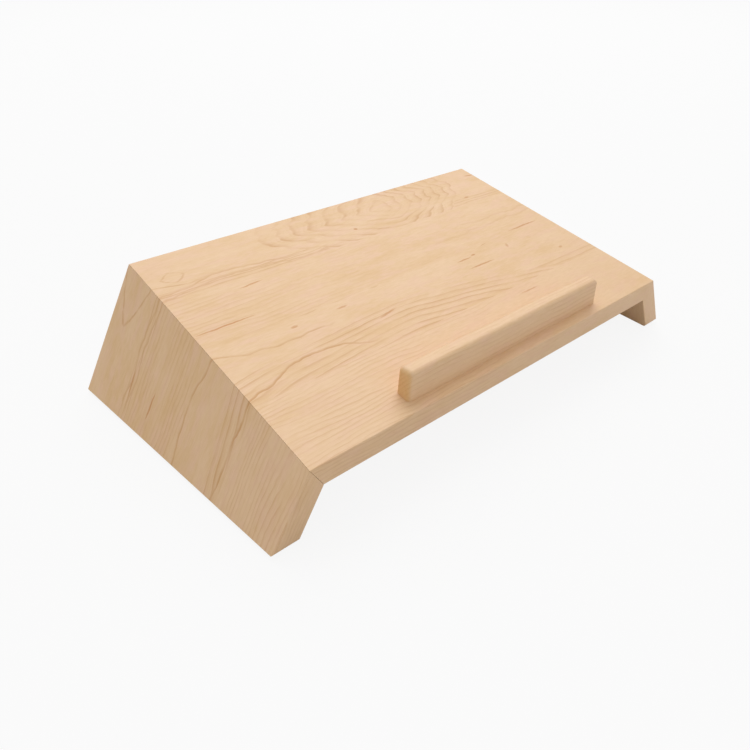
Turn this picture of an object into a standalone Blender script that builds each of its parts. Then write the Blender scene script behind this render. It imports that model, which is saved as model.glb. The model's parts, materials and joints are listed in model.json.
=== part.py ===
"""Sloped desk stand for a laptop or a book, made of edge-glued hardwood boards.

A top board slopes down to the front and is mitred to two side boards that splay
outwards down to the desk. Every board is glued up from the same staves, so the
grain runs over the mitres. Glued biscuits, hidden in slots, lock each mitre. A
stop ledge near the front edge is screwed on from below, and thin pads under the
side boards keep the stand from sliding.

Frame: +X to the right, +Y to the back, +Z up. The origin is on the desk, below
the middle of the stand.
"""
import math

import bmesh
import bpy
from mathutils import Matrix, Vector

MM = 0.001

# The boards.
TOP_WIDTH = 423 * MM                # across the top, outer arris to outer arris
DEPTH = 272 * MM                    # front face to back face, both plumb
FRONT_HEIGHT = 60 * MM              # foot of a side board to the top's front arris
SLOPE = math.radians(10)            # rise of the top towards the back
SPLAY = math.radians(31)            # lean of the side boards, seen from the front
BOARD_THICKNESS = 19.05 * MM
STAVES = 4                          # strips glued edge to edge in every board
GLUE_GAP = 0.3 * MM                 # clearance between pieces that touch
TOE_RADIUS = 5 * MM                 # rounding under the front of each side board
TOE_SEGMENTS = 4

# The stop ledge.
LEDGE_LENGTH = 239.5 * MM           # along its foot
LEDGE_MIDDLE = 4 * MM               # its middle, to the right of the top's
LEDGE_DEPTH = 15 * MM
LEDGE_HEIGHT = 25.4 * MM            # above the top, measured at its front face
LEDGE_SETBACK = 10 * MM             # front face of the top to front face of the ledge
LEDGE_END_RAKE = math.radians(5)    # the ends lean in towards the top
LEDGE_RADIUS = 4.6 * MM
LEDGE_SEGMENTS = 4

# The mitre biscuits, size 0.
BISCUIT_LENGTH = 47 * MM
BISCUIT_WIDTH = 15 * MM
BISCUIT_THICKNESS = 4 * MM
BISCUIT_BLUNT_END = 3 * MM          # width left at each end
BISCUIT_DEPTH_SHARE = 0.6           # place across the mitre: 0 outer arris, 1 inner
BISCUIT_SEGMENTS = 10

# The ledge screws: flat heads with a square drive.
SCREW_COUNT = 3
SCREW_SPACING = 90 * MM
SCREW_LENGTH = 31.75 * MM
SCREW_RADIUS = 2.1 * MM
SCREW_HEAD_RADIUS = 4.2 * MM
SCREW_HEAD_RIM = 0.4 * MM
SCREW_HEAD_TAPER = 2.4 * MM         # height of the cone under the head
SCREW_POINT = 6 * MM
SCREW_RECESS = 0.5 * MM             # head below the underside of the top
SCREW_SEGMENTS = 20
DRIVE_WIDTH = 2.8 * MM
DRIVE_DEPTH = 2 * MM

# The pads.
PAD_THICKNESS = 1.2 * MM
PAD_RADIUS = 6 * MM
PAD_INSET = 27 * MM                 # front or back face to the middle of a pad
PAD_SEGMENTS = 24

# Worked out from the dimensions above.
FOOT_Z = PAD_THICKNESS + GLUE_GAP
FRONT_Y = -DEPTH / 2
BACK_Y = DEPTH / 2
STAVE_PITCH = DEPTH / STAVES
BLANK_SIZE = 2 * (TOP_WIDTH + DEPTH)
UP_SLOPE = Vector((0, math.cos(SLOPE), math.sin(SLOPE)))
TOP_NORMAL = Vector((0, -math.sin(SLOPE), math.cos(SLOPE)))
LEFT = -1
RIGHT = 1


def point_on_top(x, y):
    """A point of the top's upper face."""
    return Vector((x, y, FOOT_Z + FRONT_HEIGHT + (y - FRONT_Y) * math.tan(SLOPE)))


def side_normal(hand):
    """Outward normal of a side board's outer face."""
    return Vector((hand * math.cos(SPLAY) * math.cos(SLOPE),
                   -math.sin(SPLAY) * math.sin(SLOPE),
                   math.sin(SPLAY) * math.cos(SLOPE))).normalized()


def side_grain(hand):
    """Direction of a side board's staves, down its outer face."""
    return Vector((hand * math.sin(SPLAY), 0, -math.cos(SPLAY)))


def mitre_normal(hand):
    """Normal of a mitre, from the top board towards the side board."""
    return (side_normal(hand) - TOP_NORMAL).normalized()


def mitre_inward(hand):
    """Direction in a mitre, square to its arris, from the outer arris inwards."""
    return UP_SLOPE.cross(mitre_normal(hand)) * hand


def inner_arris_distance(hand):
    """Width of a mitre, from its outer arris to its inner one."""
    return BOARD_THICKNESS / -mitre_inward(hand).dot(TOP_NORMAL)


# Modelling helpers.

def make_material(name, color, roughness, metallic=0.0):
    """A plain Principled material."""
    material = bpy.data.materials.new(name)
    material.use_nodes = True
    shader = material.node_tree.nodes["Principled BSDF"]
    shader.inputs["Base Color"].default_value = (*color, 1)
    shader.inputs["Roughness"].default_value = roughness
    shader.inputs["Metallic"].default_value = metallic
    return material


def add_object(name, bm, material, frame=None):
    """Turn a bmesh into an object of the stand.

    A solid drawn in a frame of its own is placed by that frame. A solid drawn in
    the stand's frame has its origin moved to its middle.
    """
    if frame is None:
        corners = [vert.co for vert in bm.verts]
        low = Vector([min(co[axis] for co in corners) for axis in range(3)])
        high = Vector([max(co[axis] for co in corners) for axis in range(3)])
        middle = (low + high) / 2
        bmesh.ops.translate(bm, verts=bm.verts, vec=-middle)
        frame = Matrix.Translation(middle)
    bmesh.ops.recalc_face_normals(bm, faces=bm.faces)
    mesh = bpy.data.meshes.new(name)
    bm.to_mesh(mesh)
    bm.free()
    mesh.materials.append(material)
    obj = bpy.data.objects.new(name, mesh)
    bpy.context.collection.objects.link(obj)
    obj.matrix_world = frame
    obj.parent = STAND
    return obj


def frame_at(origin, x_axis, y_axis, z_axis):
    """A placement matrix with the given origin and axes."""
    rotation = Matrix((x_axis, y_axis, z_axis)).transposed()
    return Matrix.Translation(origin) @ rotation.to_4x4()


def blank():
    """A block larger than the stand, to saw a board from."""
    bm = bmesh.new()
    bmesh.ops.create_cube(bm, size=BLANK_SIZE)
    return bm


def saw(bm, point, normal):
    """Saw a convex solid through a point and throw away what the normal points to."""
    cut = bmesh.ops.bisect_plane(bm, geom=bm.verts[:] + bm.edges[:] + bm.faces[:], dist=1e-7,
                                 plane_co=point, plane_no=normal, clear_outer=True)
    rim = [item for item in cut["geom_cut"] if isinstance(item, bmesh.types.BMEdge)]
    bmesh.ops.edgeloop_fill(bm, edges=rim)


def saw_stave(bm, index, x, seam_normal):
    """Saw a board's blank to one stave's width: seams inside, plumb faces outside."""
    half_gap = seam_normal * (GLUE_GAP / 2)
    if index == 0:
        saw(bm, Vector((0, FRONT_Y, 0)), Vector((0, -1, 0)))
    else:
        saw(bm, point_on_top(x, FRONT_Y + index * STAVE_PITCH) + half_gap, -seam_normal)
    if index == STAVES - 1:
        saw(bm, Vector((0, BACK_Y, 0)), Vector((0, 1, 0)))
    else:
        saw(bm, point_on_top(x, FRONT_Y + (index + 1) * STAVE_PITCH) - half_gap, seam_normal)


def extruded(outline, thickness):
    """A flat solid: an outline in XY, extruded evenly to both sides."""
    bm = bmesh.new()
    face = bm.faces.new([bm.verts.new((x, y, -thickness / 2)) for x, y in outline])
    grown = bmesh.ops.extrude_face_region(bm, geom=[face])
    top = [item for item in grown["geom"] if isinstance(item, bmesh.types.BMVert)]
    bmesh.ops.translate(bm, verts=top, vec=(0, 0, thickness))
    return bm


def turned(profile, segments):
    """A round solid about Z from a profile of (radius, height) that ends on the axis."""
    bm = bmesh.new()
    verts = [bm.verts.new((radius, 0, height)) for radius, height in profile]
    edges = [bm.edges.new(pair) for pair in zip(verts, verts[1:])]
    bmesh.ops.spin(bm, geom=verts + edges, cent=(0, 0, 0), axis=(0, 0, 1),
                   angle=2 * math.pi, steps=segments, use_merge=True)
    bmesh.ops.remove_doubles(bm, verts=bm.verts, dist=1e-6)
    return bm


def cut_away(obj, cutter):
    """Subtract a cutter from an object with a Boolean modifier."""
    cutter.hide_render = True
    cutter.display_type = "WIRE"
    modifier = obj.modifiers.new(cutter.name, "BOOLEAN")
    modifier.operation = "DIFFERENCE"
    modifier.solver = "EXACT"
    modifier.object = cutter


def shade_round(obj):
    """Smooth shading on a turned piece, with its edges kept."""
    obj.data.shade_smooth()
    obj.data.set_sharp_from_angle(angle=math.radians(40))


# The boards.

def build_top_stave(index, material):
    """One strip of the top board, mitred at both ends."""
    bm = blank()
    surface = point_on_top(0, FRONT_Y)
    saw(bm, surface, TOP_NORMAL)
    saw(bm, surface - TOP_NORMAL * BOARD_THICKNESS, -TOP_NORMAL)
    saw_stave(bm, index, 0, UP_SLOPE)
    for hand in (LEFT, RIGHT):
        normal = mitre_normal(hand)
        arris = point_on_top(hand * TOP_WIDTH / 2, FRONT_Y)
        saw(bm, arris - normal * (GLUE_GAP / 2), normal)
    return add_object(f"top_stave_{index + 1}", bm, material)


def build_side_stave(side, hand, index, material):
    """One strip of a side board, from the mitre down to the desk."""
    bm = blank()
    normal = side_normal(hand)
    mitre = mitre_normal(hand)
    arris_x = hand * TOP_WIDTH / 2
    arris = point_on_top(arris_x, FRONT_Y)
    saw(bm, arris, normal)
    saw(bm, arris - normal * BOARD_THICKNESS, -normal)
    saw(bm, Vector((0, 0, FOOT_Z)), Vector((0, 0, -1)))
    saw(bm, arris + mitre * (GLUE_GAP / 2), -mitre)
    saw_stave(bm, index, arris_x, normal.cross(side_grain(hand)) * hand)
    if index == 0:
        round_toe(bm)
    return add_object(f"{side}_side_stave_{index + 1}", bm, material)


def round_toe(bm):
    """Round the edge where a side board's front face meets its foot."""
    def on_toe(vert):
        return abs(vert.co.y - FRONT_Y) < GLUE_GAP and abs(vert.co.z - FOOT_Z) < GLUE_GAP

    toe = [edge for edge in bm.edges if all(on_toe(vert) for vert in edge.verts)]
    bmesh.ops.bevel(bm, geom=toe, offset=TOE_RADIUS, segments=TOE_SEGMENTS,
                    profile=0.5, affect="EDGES")


# The biscuits.

def biscuit_outline(growth):
    """A biscuit's outline, two shallow arcs with blunt ends, grown all round."""
    half_length = BISCUIT_LENGTH / 2 + growth
    end = BISCUIT_BLUNT_END / 2 + growth
    bow = BISCUIT_WIDTH / 2 + growth - end
    radius = (half_length ** 2 + bow ** 2) / (2 * bow)
    sweep = math.asin(half_length / radius)
    angles = [sweep * (2 * step / BISCUIT_SEGMENTS - 1) for step in range(BISCUIT_SEGMENTS + 1)]
    lower = [(radius * math.sin(a), radius - bow - end - radius * math.cos(a)) for a in angles]
    return lower + [(-x, -y) for x, y in lower]


def biscuit_frame(hand, index):
    """A biscuit's place: X along the arris, Y through the mitre, Z across it."""
    middle_y = FRONT_Y + (index + 0.5) * STAVE_PITCH
    inward = mitre_inward(hand)
    offset = inward * (inner_arris_distance(hand) * BISCUIT_DEPTH_SHARE)
    origin = point_on_top(hand * TOP_WIDTH / 2, middle_y) + offset
    through = mitre_normal(hand)
    return frame_at(origin, UP_SLOPE, through, UP_SLOPE.cross(through))


def build_biscuit(side, hand, index, material, top_stave, side_stave):
    """One biscuit and its slots in the two staves that it locks together."""
    frame = biscuit_frame(hand, index)
    body = extruded(biscuit_outline(0), BISCUIT_THICKNESS)
    slot = extruded(biscuit_outline(GLUE_GAP), BISCUIT_THICKNESS + 2 * GLUE_GAP)
    add_object(f"{side}_biscuit_{index + 1}", body, material, frame)
    cutter = add_object(f"cutter_{side}_slot_{index + 1}", slot, material, frame)
    cut_away(top_stave, cutter)
    cut_away(side_stave, cutter)


# The stop ledge and its screws.

def build_ledge(material):
    """A bar with plumb faces, raked ends and rounded edges, bevelled to sit on the top."""
    front = FRONT_Y + LEDGE_SETBACK
    back = front + LEDGE_DEPTH
    foot = point_on_top(0, front)
    bm = blank()
    saw(bm, Vector((0, front, 0)), Vector((0, -1, 0)))
    saw(bm, Vector((0, back, 0)), Vector((0, 1, 0)))
    saw(bm, foot + Vector((0, 0, LEDGE_HEIGHT)), Vector((0, 0, 1)))
    for hand in (LEFT, RIGHT):
        end = foot + Vector((LEDGE_MIDDLE + hand * LEDGE_LENGTH / 2, 0, 0))
        saw(bm, end, Vector((hand * math.cos(LEDGE_END_RAKE), 0, math.sin(LEDGE_END_RAKE))))
    saw(bm, Vector((0, 0, 0)), Vector((0, 0, -1)))
    rounded = [edge for edge in bm.edges if any(vert.co.z > foot.z for vert in edge.verts)]
    bmesh.ops.bevel(bm, geom=rounded, offset=LEDGE_RADIUS, segments=LEDGE_SEGMENTS,
                    profile=0.5, affect="EDGES")
    saw(bm, foot + TOP_NORMAL * GLUE_GAP, -TOP_NORMAL)
    return add_object("stop_ledge", bm, material)


def screw_profile(growth):
    """A screw's profile, head down with its face at zero, grown all round."""
    rim = SCREW_HEAD_RADIUS + growth
    shank = SCREW_RADIUS + growth
    taper_end = SCREW_HEAD_RIM + SCREW_HEAD_TAPER
    return [(0, -growth), (rim, -growth), (rim, SCREW_HEAD_RIM), (shank, taper_end),
            (shank, SCREW_LENGTH - SCREW_POINT), (0, SCREW_LENGTH + growth)]


def screw_frame(index):
    """A screw's place: square to the top, meeting the ledge's middle halfway up the thread."""
    x = LEDGE_MIDDLE + (index - (SCREW_COUNT - 1) / 2) * SCREW_SPACING
    thread_in_ledge = SCREW_LENGTH + SCREW_RECESS - BOARD_THICKNESS
    y = FRONT_Y + LEDGE_SETBACK + LEDGE_DEPTH / 2 + thread_in_ledge / 2 * math.sin(SLOPE)
    head = point_on_top(x, y) - TOP_NORMAL * (BOARD_THICKNESS - SCREW_RECESS)
    return frame_at(head, Vector((1, 0, 0)), UP_SLOPE, TOP_NORMAL)


def build_screw(index, material, top_stave, ledge):
    """One flat-head screw, its countersunk hole and its hole in the ledge."""
    frame = screw_frame(index)
    screw = add_object(f"ledge_screw_{index + 1}", turned(screw_profile(0), SCREW_SEGMENTS),
                       material, frame)
    shade_round(screw)

    socket = bmesh.new()
    bmesh.ops.create_cube(socket, size=1)
    bmesh.ops.scale(socket, verts=socket.verts, vec=(DRIVE_WIDTH, DRIVE_WIDTH, 2 * DRIVE_DEPTH))
    cut_away(screw, add_object(f"cutter_drive_{index + 1}", socket, material, frame))

    clearance = screw_profile(GLUE_GAP)
    mouth = SCREW_HEAD_RADIUS + GLUE_GAP
    clearance[:2] = [(0, -SCREW_RECESS - MM), (mouth, -SCREW_RECESS - MM)]
    hole = add_object(f"cutter_screw_hole_{index + 1}", turned(clearance, SCREW_SEGMENTS),
                      material, frame)
    cut_away(top_stave, hole)
    cut_away(ledge, hole)


# The pads.

def build_pad(side, hand, place, y, material):
    """One round pad under the middle of a side board's foot."""
    drop = point_on_top(0, y).z - FOOT_Z
    outer_x = TOP_WIDTH / 2 + drop * math.tan(SPLAY)
    foot_width = BOARD_THICKNESS / side_normal(RIGHT).x
    x = hand * (outer_x - foot_width / 2)
    profile = [(0, 0), (PAD_RADIUS, 0), (PAD_RADIUS, PAD_THICKNESS), (0, PAD_THICKNESS)]
    pad = add_object(f"{side}_{place}_pad", turned(profile, PAD_SEGMENTS), material,
                     Matrix.Translation((x, y, 0)))
    shade_round(pad)


# The stand.

for old in list(bpy.data.objects):
    bpy.data.objects.remove(old, do_unlink=True)

STAND = bpy.data.objects.new("stand", None)
bpy.context.collection.objects.link(STAND)

SIDES = {"left": LEFT, "right": RIGHT}
BEECH = make_material("beech_biscuit", (0.50, 0.32, 0.17), 0.7)
STEEL = make_material("zinc_steel", (0.62, 0.60, 0.55), 0.35, 1.0)
RUBBER = make_material("pad_rubber", (0.05, 0.05, 0.05), 0.8)

top_staves = []
for number in range(STAVES):
    maple = make_material(f"maple_top_{number + 1}", (0.79, 0.58, 0.37), 0.45)
    top_staves.append(build_top_stave(number, maple))

for side_name, side_hand in SIDES.items():
    for number in range(STAVES):
        maple = make_material(f"maple_{side_name}_{number + 1}", (0.74, 0.54, 0.34), 0.45)
        stave = build_side_stave(side_name, side_hand, number, maple)
        build_biscuit(side_name, side_hand, number, BEECH, top_staves[number], stave)
    build_pad(side_name, side_hand, "front", FRONT_Y + PAD_INSET, RUBBER)
    build_pad(side_name, side_hand, "back", BACK_Y - PAD_INSET, RUBBER)

stop_ledge = build_ledge(make_material("maple_ledge", (0.72, 0.52, 0.32), 0.45))
for number in range(SCREW_COUNT):
    build_screw(number, STEEL, top_staves[0], stop_ledge)
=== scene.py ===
"""Looks of a sloped desk stand in oiled maple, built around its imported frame.

The stand is three edge-glued boards: a sloping top and two splayed sides, mitred
together so that the grain runs over the mitres. This script saws every stave to
its visible shape, with eased arrises and closed glue lines, adds the stop ledge,
the screws and the pads, and dresses each piece in a procedural finish.

Units are metres; the wood's figure is drawn in millimetres.
"""
from __future__ import annotations

import json
import logging
import math
from dataclasses import dataclass, fields
from enum import Enum
from typing import Callable, Sequence

import bpy
from mathutils import Matrix, Vector

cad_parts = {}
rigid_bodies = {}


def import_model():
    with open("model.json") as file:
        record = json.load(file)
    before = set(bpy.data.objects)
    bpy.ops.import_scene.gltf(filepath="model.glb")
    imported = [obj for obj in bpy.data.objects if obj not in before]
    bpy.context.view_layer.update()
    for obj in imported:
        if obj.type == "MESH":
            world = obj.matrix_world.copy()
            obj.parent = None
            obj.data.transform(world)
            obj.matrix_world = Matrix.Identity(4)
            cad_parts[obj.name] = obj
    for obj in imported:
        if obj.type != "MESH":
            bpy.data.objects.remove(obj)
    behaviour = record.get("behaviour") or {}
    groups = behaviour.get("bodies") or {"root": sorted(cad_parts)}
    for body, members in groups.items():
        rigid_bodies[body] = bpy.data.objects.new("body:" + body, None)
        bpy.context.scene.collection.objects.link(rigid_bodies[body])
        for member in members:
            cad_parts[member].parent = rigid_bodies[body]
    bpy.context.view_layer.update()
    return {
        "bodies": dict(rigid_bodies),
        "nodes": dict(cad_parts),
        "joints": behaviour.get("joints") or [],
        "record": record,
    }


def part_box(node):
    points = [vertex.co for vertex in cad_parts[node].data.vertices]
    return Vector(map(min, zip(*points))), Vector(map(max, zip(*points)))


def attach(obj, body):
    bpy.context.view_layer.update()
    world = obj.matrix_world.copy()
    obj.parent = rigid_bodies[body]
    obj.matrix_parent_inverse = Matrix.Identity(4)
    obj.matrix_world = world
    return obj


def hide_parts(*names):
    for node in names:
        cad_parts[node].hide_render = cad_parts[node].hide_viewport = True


LOG = logging.getLogger("laptop_stand")

MM = 0.001
BODY = "root"
GRAIN_PLACE = "grain"
GRAIN_RUN = "grain_run"
SAW_TOLERANCE = 1e-7
MERGE_DISTANCE = 1e-6
SMOOTH_ANGLE = math.radians(28)


class Hand(Enum):
    """The two sides of the stand; the value is the sign of X."""

    LEFT = -1
    RIGHT = 1

    @property
    def word(self) -> str:
        """The side's name, as the frame's nodes spell it."""
        return self.name.lower()


class Place(Enum):
    """Where a pad sits along a side board."""

    FRONT = "front"
    BACK = "back"


# ---------------------------------------------------------------------------
# Shape
# ---------------------------------------------------------------------------


@dataclass(frozen=True)
class Plane:
    """A flat face: a point on it and the normal that points out of the wood."""

    point: Vector
    normal: Vector

    def moved(self, distance: float) -> "Plane":
        """The same plane, moved along its normal."""
        return Plane(self.point + self.normal * distance, self.normal)

    def flipped(self) -> "Plane":
        """The same plane, seen from its other side."""
        return Plane(self.point, -self.normal)

    def meet(self, second: "Plane", third: "Plane") -> Vector:
        """The point where this plane meets two others.

        Args:
            second: another plane.
            third: a third one.

        Returns:
            The point that lies in all three.
        """
        planes = (self, second, third)
        rows = Matrix([plane.normal for plane in planes])
        return rows.inverted() @ Vector([plane.point.dot(plane.normal) for plane in planes])

    def line_with(self, second: "Plane") -> Vector:
        """A point on the line that this plane shares with another."""
        across = Plane(self.point, self.normal.cross(second.normal))
        return self.meet(second, across)


@dataclass(frozen=True)
class StandShape:
    """The stand's planes and directions.

    The outer sizes come from the frame; the angles and the board thickness are
    the stand's own driving dimensions.
    """

    front_y: float
    back_y: float
    half_top: float
    foot_z: float
    back_top_z: float
    slope: float = math.radians(10)
    splay: float = math.radians(31)
    thickness: float = 19.05 * MM
    staves: int = 4

    @classmethod
    def from_frame(cls) -> "StandShape":
        """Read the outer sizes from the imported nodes.

        Returns:
            The shape that the frame's staves span.
        """
        _, top_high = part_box("top_stave_4")
        front_low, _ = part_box("top_stave_1")
        side_low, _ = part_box("left_side_stave_4")
        side_foot = max(abs(side_low.x), abs(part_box("right_side_stave_4")[1].x))
        drop = top_high.z - side_low.z
        half_top = side_foot - drop * math.tan(cls.splay)
        return cls(front_y=front_low.y, back_y=top_high.y, half_top=half_top,
                   foot_z=side_low.z, back_top_z=top_high.z)

    @property
    def up_slope(self) -> Vector:
        """Direction up the top, square to its staves."""
        return Vector((0, math.cos(self.slope), math.sin(self.slope)))

    @property
    def top_normal(self) -> Vector:
        """Normal of the top's upper face."""
        return Vector((0, -math.sin(self.slope), math.cos(self.slope)))

    @property
    def pitch(self) -> float:
        """Width of a stave, measured level."""
        return (self.back_y - self.front_y) / self.staves

    def on_top(self, x: float, y: float) -> Vector:
        """A point of the top's upper face, by its place on the desk."""
        return Vector((x, y, self.back_top_z - (self.back_y - y) * math.tan(self.slope)))

    def side_normal(self, hand: Hand) -> Vector:
        """Outward normal of a side board's outer face.

        Args:
            hand: which side board.

        Returns:
            The unit normal.
        """
        return Vector((hand.value * math.cos(self.splay) * math.cos(self.slope),
                       -math.sin(self.splay) * math.sin(self.slope),
                       math.sin(self.splay) * math.cos(self.slope))).normalized()

    def side_grain(self, hand: Hand) -> Vector:
        """Direction of a side board's staves, down its outer face."""
        return Vector((hand.value * math.sin(self.splay), 0, -math.cos(self.splay)))

    def arris(self, hand: Hand) -> Vector:
        """The front end of the arris between the top and a side board."""
        return self.on_top(hand.value * self.half_top, self.front_y)

    @property
    def top(self) -> Plane:
        """The top's upper face."""
        return Plane(self.on_top(0, self.front_y), self.top_normal)

    @property
    def front(self) -> Plane:
        """The plumb front face of all three boards."""
        return Plane(Vector((0, self.front_y, 0)), Vector((0, -1, 0)))

    @property
    def back(self) -> Plane:
        """The plumb back face of all three boards."""
        return Plane(Vector((0, self.back_y, 0)), Vector((0, 1, 0)))

    @property
    def foot(self) -> Plane:
        """The level foot of the side boards."""
        return Plane(Vector((0, 0, self.foot_z)), Vector((0, 0, -1)))

    def side(self, hand: Hand) -> Plane:
        """A side board's outer face."""
        return Plane(self.arris(hand), self.side_normal(hand))

    def mitre(self, hand: Hand) -> Plane:
        """A mitre, facing from the top board towards the side board."""
        normal = (self.side_normal(hand) - self.top_normal).normalized()
        return Plane(self.arris(hand), normal)

    def top_grain_place(self, point: Vector) -> Vector:
        """A point's place in the top.

        Args:
            point: a point in or on the top board.

        Returns:
            Its place along, across and below the upper face, in millimetres.
        """
        depth = (self.top.point - point).dot(self.top_normal)
        level = point + self.top_normal * depth
        return Vector((level.x, level.y - self.front_y, depth)) / MM

    def side_grain_place(self, hand: Hand, point: Vector) -> Vector:
        """A point's place in a side board, measured on from the top's own grain.

        Args:
            hand: which side board.
            point: a point in or on it.

        Returns:
            Its place along, across and below the outer face, in millimetres.
        """
        normal = self.side_normal(hand)
        depth = (self.arris(hand) - point).dot(normal)
        level = point + normal * depth
        down = (hand.value * level.x - self.half_top) / math.sin(self.splay)
        along = hand.value * (self.half_top + down)
        return Vector((along, level.y - self.front_y, depth)) / MM


# ---------------------------------------------------------------------------
# Bench work: modelling with Blender's own tools
# ---------------------------------------------------------------------------


class Workpiece:
    """One mesh on the bench, shaped in edit mode from a primitive."""

    def __init__(self, name: str) -> None:
        """Take the primitive that was just added and give it its name.

        Args:
            name: the name.
        """
        self.obj: bpy.types.Object = bpy.context.object
        self.obj.name = name
        self.obj.data.name = name

    @classmethod
    def block(cls, name: str, low: Vector, high: Vector) -> "Workpiece":
        """Start from a block between two corners.

        Args:
            name: the piece's name.
            low: the block's lowest corner.
            high: the block's highest corner.

        Returns:
            The new workpiece, with its origin at the world's origin.
        """
        bpy.ops.object.select_all(action="DESELECT")
        bpy.ops.mesh.primitive_cube_add(size=1, location=(low + high) / 2, scale=high - low)
        bpy.ops.object.transform_apply(location=True, rotation=True, scale=True)
        return cls(name)

    @classmethod
    def disc(cls, name: str, radius: float, segments: int) -> "Workpiece":
        """Start from a filled circle about Z at the origin.

        Args:
            name: the piece's name.
            radius: the circle's radius.
            segments: its number of sides.

        Returns:
            The new workpiece.
        """
        bpy.ops.object.select_all(action="DESELECT")
        bpy.ops.mesh.primitive_circle_add(vertices=segments, radius=radius, fill_type="NGON")
        return cls(name)

    @classmethod
    def copy_of(cls, node: bpy.types.Object, name: str) -> "Workpiece":
        """Start from a merged copy of a frame node's mesh.

        Args:
            node: the frame's node, which is left as it is.
            name: the copy's name.

        Returns:
            The new workpiece.
        """
        obj = bpy.data.objects.new(name, node.data.copy())
        bpy.context.collection.objects.link(obj)
        bpy.context.view_layer.objects.active = obj
        piece = cls(name)
        piece.edit(lambda: bpy.ops.mesh.remove_doubles(threshold=MERGE_DISTANCE))
        return piece

    def select(self) -> None:
        """Make this piece the one that operators work on."""
        bpy.ops.object.select_all(action="DESELECT")
        self.obj.select_set(True)
        bpy.context.view_layer.objects.active = self.obj

    def edit(self, action: Callable[[], object]) -> None:
        """Run edit-mode operators on everything in this piece.

        Args:
            action: what to do once all of the mesh is selected.
        """
        self.select()
        bpy.ops.object.mode_set(mode="EDIT")
        bpy.ops.mesh.select_all(action="SELECT")
        action()
        bpy.ops.object.mode_set(mode="OBJECT")

    def saw(self, plane: Plane) -> None:
        """Saw along a plane and drop what its normal points to.

        Args:
            plane: where to saw.
        """
        self.edit(lambda: bpy.ops.mesh.bisect(
            plane_co=plane.point, plane_no=plane.normal, use_fill=True, clear_outer=True,
            threshold=SAW_TOLERANCE))

    def ease(self, first: Plane, second: Plane, radius: float, facets: int) -> None:
        """Round the arris between two faces with a fan of fine cuts.

        Args:
            first: one face.
            second: the other face.
            radius: radius of the rounding.
            facets: number of cuts.
        """
        inward = (first.normal + second.normal) / (1 + first.normal.dot(second.normal))
        centre = first.line_with(second) - inward * radius
        angle = first.normal.angle(second.normal)
        for step in range(1, facets + 1):
            turn = angle * step / (facets + 1)
            normal = first.normal * math.sin(angle - turn) + second.normal * math.sin(turn)
            normal.normalize()
            self.saw(Plane(centre + normal * radius, normal))

    def round_edges(self, wanted: Callable[[Vector, Vector], bool],
                    radius: float, segments: int) -> None:
        """Bevel the edges whose ends pass a test.

        Args:
            wanted: test on an edge's two end points.
            radius: radius of the rounding.
            segments: facets across it.
        """
        mesh = self.obj.data
        chosen = [edge.index for edge in mesh.edges
                  if wanted(*(mesh.vertices[index].co for index in edge.vertices))]

        def bevel() -> None:
            """Select the chosen edges and bevel them."""
            bpy.ops.mesh.select_mode(type="EDGE")
            bpy.ops.mesh.select_all(action="DESELECT")
            bpy.ops.object.mode_set(mode="OBJECT")
            for index in chosen:
                mesh.edges[index].select = True
            bpy.ops.object.mode_set(mode="EDIT")
            bpy.ops.mesh.bevel(offset=radius, segments=segments, profile=0.5, affect="EDGES")
            bpy.ops.mesh.select_mode(type="VERT")

        self.edit(bevel)

    def turn(self, profile: Sequence[tuple[float, float]]) -> None:
        """Grow a disc into a turned solid by extruding and resizing its top face.

        Args:
            profile: (radius, height) pairs that start at the disc itself.
        """
        def grow() -> None:
            """Extrude the disc from one profile point to the next."""
            bpy.ops.mesh.select_mode(type="FACE")
            for (last_radius, last_height), (radius, height) in zip(profile, profile[1:]):
                bpy.ops.mesh.extrude_region_move(
                    TRANSFORM_OT_translate={"value": (0, 0, height - last_height)})
                ratio = radius / last_radius
                bpy.ops.transform.resize(value=(ratio, ratio, 1), center_override=(0, 0, height))
            bpy.ops.mesh.select_mode(type="VERT")
            bpy.ops.mesh.select_all(action="SELECT")
            bpy.ops.mesh.normals_make_consistent(inside=False)

        self.edit(grow)

    def swell(self, ratio: float, centre: Vector) -> None:
        """Scale everything about a point."""
        self.edit(lambda: bpy.ops.transform.resize(value=(ratio,) * 3, center_override=centre))

    def place(self, frame: Matrix) -> None:
        """Move the piece into place and bake the move into its mesh.

        Args:
            frame: the placement matrix.
        """
        self.obj.matrix_world = frame
        self.select()
        bpy.ops.object.transform_apply(location=True, rotation=True, scale=True)

    def apply(self, kind: str, **settings: object) -> None:
        """Add a modifier, set it and apply it.

        Args:
            kind: the modifier's type.
            **settings: its properties.
        """
        self.select()
        modifier = self.obj.modifiers.new(kind.title(), kind)
        for name, value in settings.items():
            setattr(modifier, name, value)
        bpy.ops.object.modifier_apply(modifier=modifier.name)

    def subtract(self, cutter: "Workpiece") -> None:
        """Cut another workpiece out of this one."""
        self.apply("BOOLEAN", operation="DIFFERENCE", solver="EXACT", object=cutter.obj)

    def discard(self) -> None:
        """Remove a workpiece that was only a cutter."""
        bpy.data.objects.remove(self.obj, do_unlink=True)

    def smooth(self) -> None:
        """Shade rounded stretches smooth and keep the flats flat."""
        self.select()
        bpy.ops.object.shade_smooth_by_angle(angle=SMOOTH_ANGLE, keep_sharp_edges=False)
        self.apply("WEIGHTED_NORMAL", mode="FACE_AREA", weight=100, keep_sharp=True)

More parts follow.
